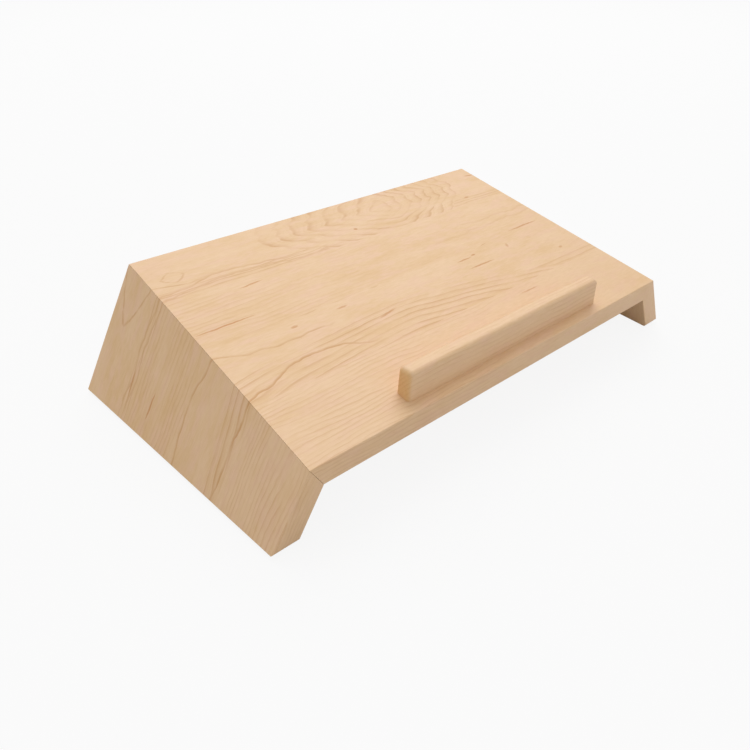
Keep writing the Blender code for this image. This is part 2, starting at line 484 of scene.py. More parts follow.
    def mark_grain(self, place: Callable[[Vector], Vector], run: Vector) -> None:
        """Store where every point lies in its board, for the wood's figure to follow.

        Args:
            place: gives (along the grain, across it, below the face) for a point.
            run: the direction of the grain.
        """
        mesh = self.obj.data
        places = mesh.attributes.new(GRAIN_PLACE, "FLOAT_VECTOR", "POINT")
        for vertex, value in zip(mesh.vertices, places.data):
            value.vector = place(vertex.co)
        runs = mesh.attributes.new(GRAIN_RUN, "FLOAT_VECTOR", "POINT")
        for value in runs.data:
            value.vector = run

    def finish(self, material: bpy.types.Material, slot: str, *nodes: str) -> None:
        """Dress the piece, set it on its body and let it stand for its nodes.

        Args:
            material: its finish.
            slot: the record's material slot; not used.
            *nodes: the frame's nodes that it stands for.
        """
        self.obj.data.materials.clear()
        self.obj.data.materials.append(material)
        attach(self.obj, BODY)
        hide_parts(*nodes)
        LOG.info("%s: %d faces", self.obj.name, len(self.obj.data.polygons))


# ---------------------------------------------------------------------------
# Finishes
# ---------------------------------------------------------------------------


class Value:
    """An output socket of a shader tree; arithmetic on it adds Math nodes."""

    def __init__(self, graph: "Graph", socket: bpy.types.NodeSocket) -> None:
        """Wrap one socket."""
        self.graph = graph
        self.socket = socket

    def __add__(self, other: "Value | float") -> "Value":
        """The sum."""
        return self.graph.math("ADD", self, other)

    def __sub__(self, other: "Value | float") -> "Value":
        """The difference."""
        return self.graph.math("SUBTRACT", self, other)

    def __rsub__(self, other: float) -> "Value":
        """A number less this value."""
        return self.graph.math("SUBTRACT", other, self)

    def __mul__(self, other: "Value | float") -> "Value":
        """The product."""
        return self.graph.math("MULTIPLY", self, other)

    def __truediv__(self, other: "Value | float") -> "Value":
        """The quotient."""
        return self.graph.math("DIVIDE", self, other)

    def __pow__(self, other: float) -> "Value":
        """The power."""
        return self.graph.math("POWER", self, other)

    def __abs__(self) -> "Value":
        """The size without the sign."""
        return self.graph.math("ABSOLUTE", self)


class Graph:
    """Adds nodes to a shader tree and links them."""

    def __init__(self, tree: bpy.types.NodeTree) -> None:
        """Work in one tree."""
        self.tree = tree

    def node(self, kind: str, **settings: object) -> bpy.types.Node:
        """Add a node and set its properties.

        Args:
            kind: the node's type.
            **settings: its properties.

        Returns:
            The node.
        """
        node = self.tree.nodes.new(kind)
        node.location.x = 180 * len(self.tree.nodes)
        for name, value in settings.items():
            setattr(node, name, value)
        return node

    def feed(self, socket: bpy.types.NodeSocket, value: object) -> None:
        """Link a socket to a value of the tree, or set it to a constant.

        Args:
            socket: the input socket.
            value: a value of the tree, or a plain one.
        """
        if isinstance(value, Value):
            self.tree.links.new(value.socket, socket)
        else:
            socket.default_value = value

    def work_out(self, kind: str, values: Sequence[object], **settings: object) -> Value:
        """Add a node, feed its inputs in order and read its first output.

        Args:
            kind: the node's type.
            values: its inputs.
            **settings: its properties.

        Returns:
            The result.
        """
        node = self.node(kind, **settings)
        for socket, value in zip(node.inputs, values):
            self.feed(socket, value)
        return Value(self, node.outputs[0])

    def read(self, kind: str, output: str, **settings: object) -> Value:
        """Add a node that needs no input and read one of its outputs."""
        return Value(self, self.node(kind, **settings).outputs[output])

    def math(self, operation: str, *values: object) -> Value:
        """A Math node's result."""
        return self.work_out("ShaderNodeMath", values, operation=operation)

    def vector(self, operation: str, *values: object) -> Value:
        """A Vector Math node's vector result."""
        return self.work_out("ShaderNodeVectorMath", values, operation=operation)

    def larger(self, first: object, second: object) -> Value:
        """The larger of two values."""
        return self.math("MAXIMUM", first, second)

    def smaller(self, first: object, second: object) -> Value:
        """The smaller of two values."""
        return self.math("MINIMUM", first, second)

    def clamp(self, value: object, low: float, high: float) -> Value:
        """A value held between two limits."""
        return self.smaller(self.larger(value, low), high)

    def join(self, value: object) -> Value:
        """A vector with the same value in all three parts."""
        return self.work_out("ShaderNodeCombineXYZ", (value,) * 3)

    def split(self, value: object) -> tuple[Value, ...]:
        """The three parts of a vector.

        Args:
            value: the vector.

        Returns:
            Its X, Y and Z.
        """
        node = self.node("ShaderNodeSeparateXYZ")
        self.feed(node.inputs[0], value)
        return tuple(Value(self, part) for part in node.outputs)

    def noise(self, place: object, scale: Sequence[float], detail: float = 2.0,
              roughness: float = 0.5, seed: float = 0.0) -> Value:
        """Noise about zero, from -0.5 to 0.5.

        Args:
            place: the point, in millimetres.
            scale: the size of a blotch along, across and below, in millimetres.
            detail: number of finer octaves.
            roughness: weight of the finer octaves.
            seed: a shift that makes the pattern its own.

        Returns:
            The centred noise value.
        """
        stretched = self.vector("DIVIDE", place, tuple(scale))
        shifted = self.vector("ADD", stretched, (seed, seed * 1.7, seed * 2.3))
        node = self.node("ShaderNodeTexNoise")
        self.feed(node.inputs["Vector"], shifted)
        node.inputs["Scale"].default_value = 1.0
        node.inputs["Detail"].default_value = detail
        node.inputs["Roughness"].default_value = roughness
        return Value(self, node.outputs["Fac"]) - 0.5

    def fade(self, value: object, low: float, high: float,
             to_low: float = 0.0, to_high: float = 1.0) -> Value:
        """A smooth step, from to_low at low to to_high at high."""
        return self.work_out("ShaderNodeMapRange", (value, low, high, to_low, to_high),
                             interpolation_type="SMOOTHSTEP")

    def stretched_distance(self, run: Value, rise: Value) -> Value:
        """Distance whose level lines are rings drawn out to blunt points."""
        roundness = 1.35
        return (abs(run) ** roundness + abs(rise) ** roundness) ** (1 / roundness)

    def growth_line(self, rings: Value) -> Value:
        """A line that darkens slowly and ends sharply, once in every ring."""
        phase = self.math("FRACT", rings)
        return self.fade(phase, 0.30, 0.92) ** 1.7 * self.fade(phase, 1.0, 0.90)

    def mix(self, factor: object, first: object, second: object, blend: str = "MIX") -> Value:
        """A colour between two others, or one blended into the other.

        Args:
            factor: how much of the second colour shows.
            first: the first colour.
            second: the second colour.
            blend: the blend mode.

        Returns:
            The mixed colour.
        """
        node = self.node("ShaderNodeMix", data_type="RGBA", blend_type=blend)
        self.feed(node.inputs["Factor"], factor)
        colors = [socket for socket in node.inputs if socket.type == "RGBA"]
        self.feed(colors[0], first)
        self.feed(colors[1], second)
        return Value(self, next(socket for socket in node.outputs if socket.type == "RGBA"))


def socket_title(name: str) -> str:
    """A field's name as a socket shows it."""
    return name.replace("_", " ").title()


def number_fields(settings: type) -> list[str]:
    """The names of a dataclass's numeric fields."""
    return [field.name for field in fields(settings) if field.type == "float"]


def numbers_in(settings: object) -> dict[str, float]:
    """A dataclass's numeric fields, by name."""
    return {name: getattr(settings, name) for name in number_fields(type(settings))}


class NodeGroup:
    """A shader node group with named inputs and outputs, built once."""

    def __init__(self, name: str, vectors: Sequence[str], numbers: Sequence[str],
                 outputs: dict[str, str]) -> None:
        """Make the group and its sockets.

        Args:
            name: the group's name.
            vectors: names of its vector inputs.
            numbers: names of its number inputs.
            outputs: socket type by name.
        """
        self.tree = bpy.data.node_groups.new(name, "ShaderNodeTree")
        for kind, names in (("NodeSocketVector", vectors), ("NodeSocketFloat", numbers)):
            for title in map(socket_title, names):
                self.tree.interface.new_socket(title, in_out="INPUT", socket_type=kind)
        for title, kind in outputs.items():
            self.tree.interface.new_socket(title, in_out="OUTPUT", socket_type=kind)
        self.graph = Graph(self.tree)
        sockets = self.tree.nodes.new("NodeGroupInput").outputs
        self.source = {title: Value(self.graph, sockets[socket_title(title)])
                       for title in (*vectors, *numbers)}
        self.sink = self.tree.nodes.new("NodeGroupOutput").inputs

    def put_out(self, **results: Value) -> None:
        """Link results to the outputs of the same name."""
        for title, result in results.items():
            self.graph.feed(self.sink[title], result)

    def use(self, graph: Graph, **values: object) -> dict[str, Value]:
        """Place the group in a tree.

        Args:
            graph: the tree to place it in.
            **values: a value for each input.

        Returns:
            The group's outputs, by name.
        """
        node = graph.node("ShaderNodeGroup", node_tree=self.tree)
        for name, value in values.items():
            graph.feed(node.inputs[socket_title(name)], value)
        return {socket.name: Value(graph, socket) for socket in node.outputs}


@dataclass(frozen=True)
class Streak:
    """A dark mineral streak: its place in a board and its size, in millimetres."""

    along: float
    across: float
    length: float
    width: float
    tilt: float = 0.0
    strength: float = 0.8
    depth: float = 0.0


@dataclass(frozen=True)
class Vein:
    """One growth line that wanders by itself along a board, in millimetres.

    It rises once, by `rise`, around `crest`.
    """

    across: float
    crest: float
    spread: float
    rise: float
    start: float
    end: float
    width: float = 1.1
    strength: float = 0.5


@dataclass(frozen=True)
class Loop:
    """One closed growth ring by itself, in millimetres."""

    along: float
    across: float
    half_length: float
    half_width: float
    strength: float = 0.4
    shown_to: float = 900.0


def build_streak_group() -> NodeGroup:
    """A short mineral streak: a dark lens that lies along the grain.

    Returns:
        The group, whose output is the streak's mask.
    """
    group = NodeGroup("mineral_streak", ["grain"], number_fields(Streak),
                      {"Mask": "NodeSocketFloat"})
    graph, source = group.graph, group.source
    along, across, depth = graph.split(source["grain"])
    reach = along - source["along"]
    wander = graph.noise(source["grain"], (9, 30, 30), 1) * 1.6
    offset = across - (source["across"] + reach * source["tilt"] + wander)
    half_length = source["length"] * 0.5
    half_width = source["width"] * 0.5
    sunk = (depth - source["depth"]) / half_width * 0.7
    spread = (reach / half_length) ** 2 + (offset / half_width) ** 2 + sunk ** 2
    ragged = graph.noise(source["grain"], (4, 0.5, 0.5), 2) * 1.4 + spread
    group.put_out(Mask=graph.fade(ragged, 1.1, 0.1) * source["strength"])
    return group


def build_vein_group() -> NodeGroup:
    """A growth line that runs alone along a board and rises once on its way.

    Returns:
        The group, whose output is the line's mask.
    """
    group = NodeGroup("lone_vein", ["grain"], number_fields(Vein),
                      {"Mask": "NodeSocketFloat"})
    graph, source = group.graph, group.source
    along, across, _ = graph.split(source["grain"])
    share = (along - source["crest"]) / source["spread"]
    swing = graph.clamp(share, -0.5, 0.5) * (2 * math.pi)
    bump = graph.math("COSINE", swing) * 0.5 + 0.5
    wander = graph.noise(source["grain"], (24, 60, 60), 2) * 11.0
    offset = across - (bump * source["rise"] + source["across"] + wander)
    above = offset / (source["width"] * 2.2)
    below = offset / (source["width"] * -0.6)
    falloff = graph.fade(graph.larger(above, below), 1.0, 0.0)
    begun = graph.fade(along - source["start"], 0, 25)
    ended = graph.fade(source["end"] - along, 0, 25)
    patchy = graph.fade(graph.noise(source["grain"], (22, 30, 30), 2, seed=4.0), -0.2, 0.1,
                        0.45, 1.0)
    group.put_out(Mask=falloff * begun * ended * patchy * source["strength"])
    return group


def build_loop_group() -> NodeGroup:
    """One closed growth ring, drawn out along the grain.

    Returns:
        The group, whose output is the ring's mask.
    """
    group = NodeGroup("lone_loop", ["grain"], number_fields(Loop),
                      {"Mask": "NodeSocketFloat"})
    graph, source = group.graph, group.source
    along, across, _ = graph.split(source["grain"])
    bend = graph.noise(source["grain"], (14, 9, 20), 2, seed=2.6) * 7.0
    run = along - source["along"] + bend
    rise = across - source["across"]
    span = graph.stretched_distance(run / source["half_length"], rise / source["half_width"])
    offset = (span - 1.0) * source["half_width"]
    line = graph.fade(abs(offset), 1.3, 0.1)
    patchy = graph.fade(graph.noise(source["grain"], (12, 9, 20), 2, seed=6.2), -0.2, 0.1,
                        0.35, 1.0)
    kept = graph.fade(source["shown_to"] - along, 0.0, 40.0)
    group.put_out(Mask=line * patchy * kept * source["strength"])
    return group


def build_maple_group() -> NodeGroup:
    """Hard maple: growth lines, cathedral figure, fibre, flecks and mottling.

    The growth rings lie round a heart, out to its reach. Past it they run straight
    along the board, up to the level that the plain wood starts at.

    Returns:
        The group, with the wood's colour, roughness and height.
    """
    group = NodeGroup("maple_wood", ["grain", "heart"],
                      [*number_fields(MapleFinish), "streaks", "veins", "end_grain"],
                      {"Color": "NodeSocketColor", "Roughness": "NodeSocketFloat",
                       "Height": "NodeSocketFloat"})
    graph, source = group.graph, group.source
    grain = source["grain"]
    along, across, depth = graph.split(grain)

    # The growth rings bulge and wander, slowly along the board and faster across it.
    slow = graph.noise(grain, (95, 40, 30), 1.5) * source["waviness"]
    quick = graph.noise(grain, (19, 11, 10), 2, seed=3.1) * (source["waviness"] * 0.22)
    swerve = graph.noise(grain, (46, 13, 20), 1.5, seed=7.7) * 26.0
    warped = across + slow + quick
    dipped = depth * 1.25 + warped

    # Rings about the heart, drawn out along the board, and straight lines past them.
    heart_along, heart_across, _ = graph.split(source["heart"])
    ahead = along + swerve - heart_along
    skewed = graph.larger(ahead, 0.0) * source["skew"] + graph.smaller(ahead, 0.0)
    level = dipped - heart_across - ahead * source["tilt"]
    rise = graph.larger(level, 0.0) * source["crown"] + graph.smaller(level, 0.0)
    distance = graph.stretched_distance(skewed / source["stretch"], rise)
    inside = graph.math("LESS_THAN", distance, source["reach"])
    below = graph.fade(source["plain_from"] - warped, 0.0, 3.0)
    straight_rings = (dipped + 400.0) / source["straight_pitch"]
    rings = distance / source["ring_pitch"] * inside + straight_rings * (1.0 - inside)
    line = graph.growth_line(rings) + graph.growth_line(rings * 3.0 + 0.35) * 0.25
    patchy = graph.fade(graph.noise(grain, (60, 16, 20), 2, seed=12.4), -0.16, 0.18, 0.2, 1.0)
    calm = graph.fade(along - source["calm"], -170, 150, 1.0, 0.15)
    shown = line * patchy * (graph.larger(inside, below) * calm)
    lines = graph.larger(shown * source["line_strength"], source["veins"])

    # Fibre, short pores and broad mottling.
    fibre = graph.noise(grain, (14, 0.55, 0.55), 3, 0.6, seed=1.3)
    figure = graph.noise(grain, (7, 2.2, 2.2), 2, seed=21.0)
    pores = graph.fade(graph.noise(grain, (5.5, 0.4, 0.4), 1, seed=5.2), 0.17, 0.27)
    mottle = graph.noise(grain, (46, 13, 12), 2, seed=9.4)
    blush = graph.noise(grain, (24, 9, 9), 2, seed=15.8)

    tone = mottle * 1.9 + 0.5 + source["tone"]
    body = graph.mix(tone, (0.840, 0.570, 0.335, 1), (0.775, 0.496, 0.240, 1))
    flushed = graph.mix(graph.fade(blush, -0.08, 0.22, 0.0, 0.65), body,
                        (0.835, 0.540, 0.345, 1))
    lined = graph.mix(lines, flushed, (0.580, 0.275, 0.080, 1))
    flecked = graph.mix(pores * 0.16, lined, (0.56, 0.28, 0.06, 1))
    streaked = graph.mix(source["streaks"], flecked, (0.58, 0.225, 0.045, 1))
    thirsty = graph.mix(source["end_grain"] * 0.8, streaked, (0.94, 0.86, 0.62, 1),
                        "MULTIPLY")
    threads = graph.join(figure * 0.55 + fibre)
    glow = graph.vector("ADD", graph.vector("MULTIPLY", threads, (0.17, 0.23, 0.50)),
                        (1, 1, 1))
    group.put_out(
        Color=graph.mix(1.0, thirsty, glow, "MULTIPLY"),
        Roughness=fibre * 0.16 + 0.49 + lines * 0.08 + source["end_grain"] * 0.15,
        Height=fibre * 0.7 + 0.5 - pores * 0.35 - lines * 0.15)
    return group


@dataclass(frozen=True)
class Effects:
    """The shader effects that the finishes share."""

    maple: NodeGroup
    streak: NodeGroup
    vein: NodeGroup
    loop: NodeGroup


@dataclass(frozen=True)
class MapleFinish:
    """Oiled maple with the figure of one board, places in millimetres."""

    name: str
    heart: tuple[float, float]
    reach: float
    stretch: float
    ring_pitch: float
    waviness: float
    line_strength: float
    straight_pitch: float
    skew: float = 1.0
    crown: float = 1.0
    tilt: float = 0.0
    plain_from: float = 900.0
    calm: float = 900.0
    tone: float = 0.0
    shift: tuple[float, float, float] = (0.0, 0.0, 0.0)
    streaks: tuple[Streak, ...] = ()
    veins: tuple[Vein, ...] = ()
    loops: tuple[Loop, ...] = ()

    def material(self, effects: Effects) -> bpy.types.Material:
        """Build the material.

        Args:
            effects: the shared shader effects.

        Returns:
            The material, which reads the board's own grain attributes.
        """
        material, graph, shader = blank_material(self.name)
        place = graph.read("ShaderNodeAttribute", "Vector", attribute_name=GRAIN_PLACE)
        grain = graph.vector("ADD", place, self.shift)
        run = graph.read("ShaderNodeAttribute", "Vector", attribute_name=GRAIN_RUN)
        facing = graph.vector("DOT_PRODUCT", graph.read("ShaderNodeTexCoord", "Normal"), run)
        cosine = Value(graph, facing.socket.node.outputs["Value"])

        streaks = strongest_mark(graph, effects.streak, grain, self.streaks, 0.0)
        veins = strongest_mark(graph, effects.vein, grain, self.veins, 0.0)
        veins = strongest_mark(graph, effects.loop, grain, self.loops, veins)
        wood = effects.maple.use(
            graph, grain=grain, heart=(*self.heart, 0), streaks=streaks, veins=veins,
            end_grain=graph.fade(abs(cosine), 0.35, 0.9), **numbers_in(self))
        graph.feed(shader.inputs["Base Color"], wood["Color"])
        graph.feed(shader.inputs["Roughness"], wood["Roughness"])
        shader.inputs["Specular IOR Level"].default_value = 0.5
        add_bump(graph, shader, wood["Height"], strength=0.35, distance=0.12 * MM)
        return material


def strongest_mark(graph: Graph, group: NodeGroup, grain: Value, marks: Sequence[object],
                   mask: Value | float) -> Value | float:
    """Use a group once for each mark and keep the strongest mask.

    Args:
        graph: the material's graph.
        group: the marks' group.
        grain: the place in the board.
        marks: the dataclasses of that kind of mark.
        mask: the mask to start from.

    Returns:
        The mask of all the marks.
    """
    for mark in marks:
        mask = graph.larger(mask, group.use(graph, grain=grain, **numbers_in(mark))["Mask"])
    return mask


@dataclass(frozen=True)
class SkinFinish:
    """What the small parts' finishes share: one fine noise in roughness and bump."""

    name: str
    skin_scale: tuple[float, float, float]
    skin_detail: float
    skin_seed: float
    roughness: float
    roughness_swing: float
    bump_strength: float
    bump_distance: float
    metallic: float = 0.0

    def color(self, graph: Graph, place: Value, skin: Value) -> Value:
        """The colour at a place, which each finish mixes in its own way."""
        raise NotImplementedError

    def material(self) -> bpy.types.Material:
        """Build the material.

        Returns:
            The material.
        """
        material, graph, shader = blank_material(self.name)
        place = graph.vector("MULTIPLY", graph.read("ShaderNodeTexCoord", "Object"),
                             (1 / MM,) * 3)
        skin = graph.noise(place, self.skin_scale, self.skin_detail, seed=self.skin_seed)
        graph.feed(shader.inputs["Base Color"], self.color(graph, place, skin))
        shader.inputs["Metallic"].default_value = self.metallic
        graph.feed(shader.inputs["Roughness"], skin * self.roughness_swing + self.roughness)
        add_bump(graph, shader, skin, self.bump_strength, self.bump_distance)
        return material


@dataclass(frozen=True)
class BeechFinish(SkinFinish):
    """Compressed beech of a biscuit, with its pressed grain."""

    def color(self, graph: Graph, place: Value, skin: Value) -> Value:
        """Brown that follows the fibre, with dark flecks.

        Args:
            graph: the material's graph.
            place: the point, in millimetres.
            skin: the fine noise there.

        Returns:
            The colour.
        """
        fleck = graph.fade(graph.noise(place, (1.6, 0.5, 0.5), 1, seed=6.0), 0.05, 0.2)
        body = graph.mix(skin + 0.5, (0.56, 0.36, 0.20, 1), (0.42, 0.25, 0.12, 1))
        return graph.mix(fleck * 0.5, body, (0.30, 0.16, 0.08, 1))


@dataclass(frozen=True)
class ZincFinish(SkinFinish):
    """Bright zinc plate on a steel screw."""

    def color(self, graph: Graph, place: Value, skin: Value) -> Value:
        """Bright grey with warm clouds."""
        cloud = graph.noise(place, (2.2, 2.2, 2.2), 3, seed=4.0)
        return graph.mix(cloud + 0.5, (0.66, 0.64, 0.58, 1), (0.52, 0.52, 0.50, 1))


@dataclass(frozen=True)
class RubberFinish(SkinFinish):
    """Matt black rubber of the pads."""

    def color(self, graph: Graph, place: Value, skin: Value) -> Value:
        """Black with a little dust on it."""
        dust = graph.noise(place, (4, 4, 4), 3, seed=5.0)
        return graph.mix(graph.fade(dust, -0.1, 0.3), (0.028, 0.028, 0.028, 1),
                         (0.060, 0.057, 0.053, 1))


def blank_material(name: str) -> tuple[bpy.types.Material, Graph, bpy.types.Node]:
    """A new material with its graph and its Principled shader.

    Args:
        name: the material's name.

    Returns:
        The material, a graph in its tree, and the shader node.
    """
    material = bpy.data.materials.new(name)
    material.use_nodes = True
    graph = Graph(material.node_tree)
    return material, graph, material.node_tree.nodes["Principled BSDF"]


def add_bump(graph: Graph, shader: bpy.types.Node, height: Value,
             strength: float, distance: float) -> None:
    """Feed a shader's normal from a Bump node.

    Args:
        graph: the material's graph.
        shader: its Principled shader.
        height: the height, near 0 to 1.
        strength: how much of the bump shows.
        distance: what a height of 1 stands for, in metres.
    """
    bump = graph.node("ShaderNodeBump")
    bump.inputs["Strength"].default_value = strength
    bump.inputs["Distance"].default_value = distance
    graph.feed(bump.inputs["Height"], height)
    graph.feed(shader.inputs["Normal"], Value(graph, bump.outputs["Normal"]))


BOARD_FINISHES = (
    MapleFinish("maple_front_stave", heart=(0, -200), reach=0, stretch=1, ring_pitch=3.8,
                straight_pitch=4.1, waviness=15, line_strength=0.27, calm=20, tone=-0.5,
                streaks=(Streak(83, 57, 28, 2.2, 0.0, 0.5),
                         Streak(-181, 0, 13, 2.6, 0.0, 0.7, 9.0),
                         Streak(-137, 0, 10, 2.0, 0.0, 0.6, 7.0),
                         Streak(24, 0, 12, 2.2, 0.0, 0.5, 12.0))),
    MapleFinish("maple_second_stave", heart=(-40, 20), reach=87, stretch=4.5, tilt=-0.06,
                ring_pitch=6.3, straight_pitch=6.3, waviness=9, line_strength=0.47, plain_from=80,
                calm=230, tone=-0.15,
                streaks=(Streak(64, 125, 22, 2.0, 0.0, 0.75), Streak(79, 127, 7, 2.8),
                         Streak(75, 110.5, 38, 2.2, -0.02, 0.75),
                         Streak(106, 136, 18, 1.6, 0.2, 0.5),
                         Streak(-58, 100, 24, 2.8, 0.22, 0.55),
                         Streak(-137, 126, 8, 3.4, 0.0, 0.6),
                         Streak(-87, 127, 13, 2.6, 0.0, 0.6),
                         Streak(125, 122, 5, 6.0, 0.6, 0.45),
                         Streak(176, 91, 7, 3.4, 0.0, 0.5)),
                veins=(Vein(73, -142, 160, 18, -520, -80, 1.3, 0.75),
                       Vein(113, -260, 210, 20, -420, -100, 1.2, 0.55),
                       Vein(136, 60, 300, 2.5, -140, 190, 1.1, 0.35))),
    MapleFinish("maple_third_stave", heart=(0, -200), reach=0, stretch=1, ring_pitch=5.5,
                straight_pitch=4.7, waviness=14, line_strength=0.24, calm=-70, tone=0.0,
                streaks=(Streak(-136, 193.5, 26, 2.0, 0.05, 0.75),
                         Streak(-183, 155.7, 62, 2.0, 0.0, 0.85),
                         Streak(172, 140.7, 52, 2.6, 0.02, 0.7),
                         Streak(-288, 177, 30, 2.2, -0.05, 0.75)),
                veins=(Vein(160, 230, 260, 3, 20, 330, 1.6, 0.2),
                       Vein(174, 180, 220, -3, 90, 330, 1.8, 0.2))),
    MapleFinish("maple_back_stave", heart=(60, 243), reach=66, stretch=2.4,
                skew=1.45, crown=0.45, ring_pitch=8.2, straight_pitch=4.6, waviness=11,
                line_strength=0.47, plain_from=220,
                streaks=(Streak(205, 254, 16, 2.8, -0.15, 0.7), Streak(4, 222, 5, 4.0),
                         Streak(162, 216, 8, 3.4, 0.0, 0.6),
                         Streak(-290, 211, 26, 2.4, 0.06, 0.6)),
                veins=(Vein(213, -147, 130, 9, -330, -60, 1.4, 0.45),
                       Vein(207, -147, 150, 8, -330, -20, 1.3, 0.42)),
                loops=(Loop(-189, 235, 11, 7.5, 0.4),
                       Loop(-178, 250, 79, 29, 0.5, shown_to=-150))),
)

# The ledge's tone of -0.85 is painted light: it makes the ledge paler than the staves to make up
# for the shade that falls on its front.
LEDGE_FINISH = MapleFinish("maple_ledge", heart=(0, -200), reach=0, stretch=1,
                           ring_pitch=4.6, straight_pitch=4.6, waviness=9,
                           line_strength=0.26, tone=-0.85, shift=(611, 37, 5))

BEECH_FINISH = BeechFinish("pressed_beech", (6, 0.7, 0.9), 3, 2.0, roughness=0.72,
                           roughness_swing=0.2, bump_strength=0.3, bump_distance=0.1 * MM)

ZINC_FINISH = ZincFinish("zinc_plate", (0.3, 3.0, 3.0), 2, 8.0, roughness=0.34,
                         roughness_swing=0.3, bump_strength=0.2, bump_distance=0.02 * MM,
                         metallic=1.0)

RUBBER_FINISH = RubberFinish("matt_rubber", (0.35, 0.35, 0.35), 3, 1.0, roughness=0.78,
                             roughness_swing=0.2, bump_strength=0.4, bump_distance=0.05 * MM)


@dataclass
class Materials:
    """Every finish of the stand, built once."""

    staves: tuple[bpy.types.Material, ...]
    ledge: bpy.types.Material
    beech: bpy.types.Material
    zinc: bpy.types.Material
    rubber: bpy.types.Material

    @classmethod
    def build(cls) -> "Materials":
        """Build the shared effects and the materials.

        Returns:
            The stand's materials.
        """
        effects = Effects(build_maple_group(), build_streak_group(), build_vein_group(),
                          build_loop_group())
        staves = tuple(finish.material(effects) for finish in BOARD_FINISHES)
        return cls(staves, LEDGE_FINISH.material(effects), BEECH_FINISH.material(),
                   ZINC_FINISH.material(), RUBBER_FINISH.material())


# ---------------------------------------------------------------------------
# Sub-assemblies
# ---------------------------------------------------------------------------


@dataclass
class Board:
    """What the three boards share: stave cuts, eased arrises and biscuit slots."""

    shape: StandShape
    materials: Materials
    nodes: dict[str, bpy.types.Object]
    arris_radius: float = 1.0 * MM
    arris_facets: int = 4
    mitre_line: float = 0.14 * MM
    seam_radius: float = 0.22 * MM
    seam_facets: int = 2
    slot_growth: float = 1.012

    def build(self) -> list[Workpiece]:
        """Build the staves, from the front."""
        return [self.build_stave(index) for index in range(self.shape.staves)]

    def blank(self, name: str) -> Workpiece:
        """A block large enough to saw a stave of either board from."""
        reach = Vector((2 * self.shape.half_top, self.shape.back_y * 2, self.shape.half_top))
        return Workpiece.block(name, -reach, reach)

    def saw_width(self, stave: Workpiece, index: int, x: float, seam_normal: Vector) -> None:
        """Saw a stave to its width: seams inside the board, plumb faces outside.

        Args:
            stave: the workpiece.
            index: the stave's number from the front, from 0.
            x: where the seams are measured on the top's face.
            seam_normal: the seams' normal, towards the back.
        """
        shape = self.shape
        near = Plane(shape.on_top(x, shape.front_y + index * shape.pitch), -seam_normal)
        far = Plane(shape.on_top(x, shape.front_y + (index + 1) * shape.pitch), seam_normal)
        stave.saw(shape.front if index == 0 else near)
        stave.saw(shape.back if index == shape.staves - 1 else far)

    def outer_faces(self, index: int) -> list[Plane]:
        """The plumb faces that a stave has."""
        faces = {0: self.shape.front, self.shape.staves - 1: self.shape.back}
        return [face for number, face in faces.items() if number == index]

    def cut_slot(self, stave: Workpiece, side: str, index: int) -> None:
        """Cut the slot for a mitre biscuit.

        Args:
            stave: the workpiece.
            side: which mitre, by its side's name.
            index: the stave's number from the front, from 0.
        """
        node = f"{side}_biscuit_{index + 1}"
        low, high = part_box(node)
        cutter = Workpiece.copy_of(self.nodes[node], f"slot_{node}")
        cutter.swell(self.slot_growth, (low + high) / 2)
        stave.subtract(cutter)
        cutter.discard()


@dataclass
class TopBoard(Board):
    """The sloping top: four staves, mitred at both ends."""

    def build_stave(self, index: int) -> Workpiece:
        """Saw one stave of the top and ease its arrises.

        Args:
            index: the stave's number from the front, from 0.

        Returns:
            The dressed stave.
        """
        shape = self.shape
        name = f"top_stave_{index + 1}"
        stave = self.blank(f"maple_{name}")
        under = shape.top.moved(-shape.thickness).flipped()
        stave.saw(shape.top)
        stave.saw(under)
        self.saw_width(stave, index, 0, shape.up_slope)
        for hand in Hand:
            mitre = shape.mitre(hand).moved(-self.mitre_line / 2)
            stave.saw(mitre)
            stave.ease(shape.top, shape.side(hand), self.arris_radius / 2, self.arris_facets)
            for face in self.outer_faces(index):
                stave.ease(mitre, face, self.seam_radius, self.seam_facets)
        for face in self.outer_faces(index):
            stave.ease(shape.top, face, self.arris_radius, self.arris_facets)
            stave.ease(under, face, self.arris_radius, self.arris_facets)
        for hand in Hand:
            self.cut_slot(stave, hand.word, index)
        return stave

    def dress(self, staves: list[Workpiece]) -> None:
        """Mark the grain of the finished staves and give them their materials.

        Args:
            staves: the staves, from the front.
        """
        for index, stave in enumerate(staves):
            stave.mark_grain(self.shape.top_grain_place, Vector((1, 0, 0)))
            stave.smooth()
            stave.finish(self.materials.staves[index], "maple_top", f"top_stave_{index + 1}")


